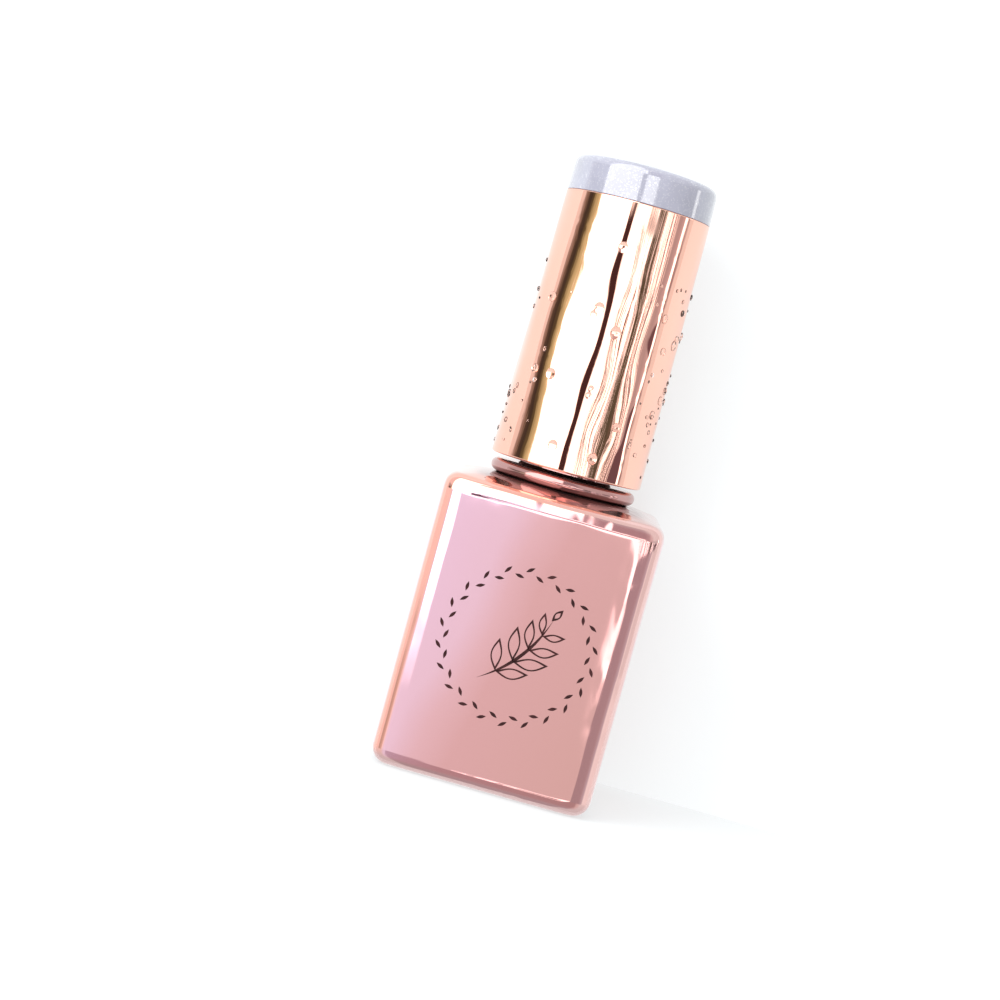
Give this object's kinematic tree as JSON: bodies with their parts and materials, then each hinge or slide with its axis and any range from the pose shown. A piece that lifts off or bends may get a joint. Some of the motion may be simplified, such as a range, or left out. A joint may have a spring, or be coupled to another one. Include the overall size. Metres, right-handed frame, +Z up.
{
  "type": "nail polish bottle",
  "caption": "Square metallised glass bottle with a round rose-gold screw cap, a lilac glitter crown and a brush inside.",
  "frame": {"origin": "middle of the base rim, on the shelf that the bottle stands on", "axes": "+Z up the shared axis of bottle, neck and cap; -Y is the front face that carries the emblem; +X to the right of the front face"},
  "size_m": [0.028, 0.028, 0.08],
  "materials": {
    "metallised_glass": "pearly rose-gold metallised gloss",
    "label_film": "plain white film",
    "ball_steel": "polished steel",
    "seal_foam": "soft closed foam",
    "inner_cap_plastic": "moulded satin",
    "rose_gold_metallising": "mirror rose-gold metallising",
    "glitter_gel": "lilac-grey gel with fine silver glitter",
    "stem_plastic": "moulded satin",
    "bristle_nylon": "fine nylon bristles",
    "staple_steel": "drawn wire"
  },
  "bodies": {
    "bottle": {"glass_bottle": "metallised_glass", "base_label": "label_film", "mixing_ball_1": "ball_steel", "mixing_ball_2": "ball_steel"},
    "seal": {"seal_washer": "seal_foam"},
    "cap": {"inner_cap": "inner_cap_plastic", "outer_cap": "rose_gold_metallising", "colour_crown": "glitter_gel", "brush_stem": "stem_plastic", "bristle_tuft": "bristle_nylon", "bristle_staple": "staple_steel"}
  },
  "joints": [
    {"name": "cap_lift", "type": "slide", "parent": "bottle", "child": "seal", "axis": [0, 0, 1], "range_m": [0, 0.052]},
    {"name": "cap_turn", "type": "hinge", "parent": "seal", "child": "cap", "pos_m": [0, 0, 0.051], "axis": [0, 0, 1], "range_deg": [0, 540]}
  ]
}
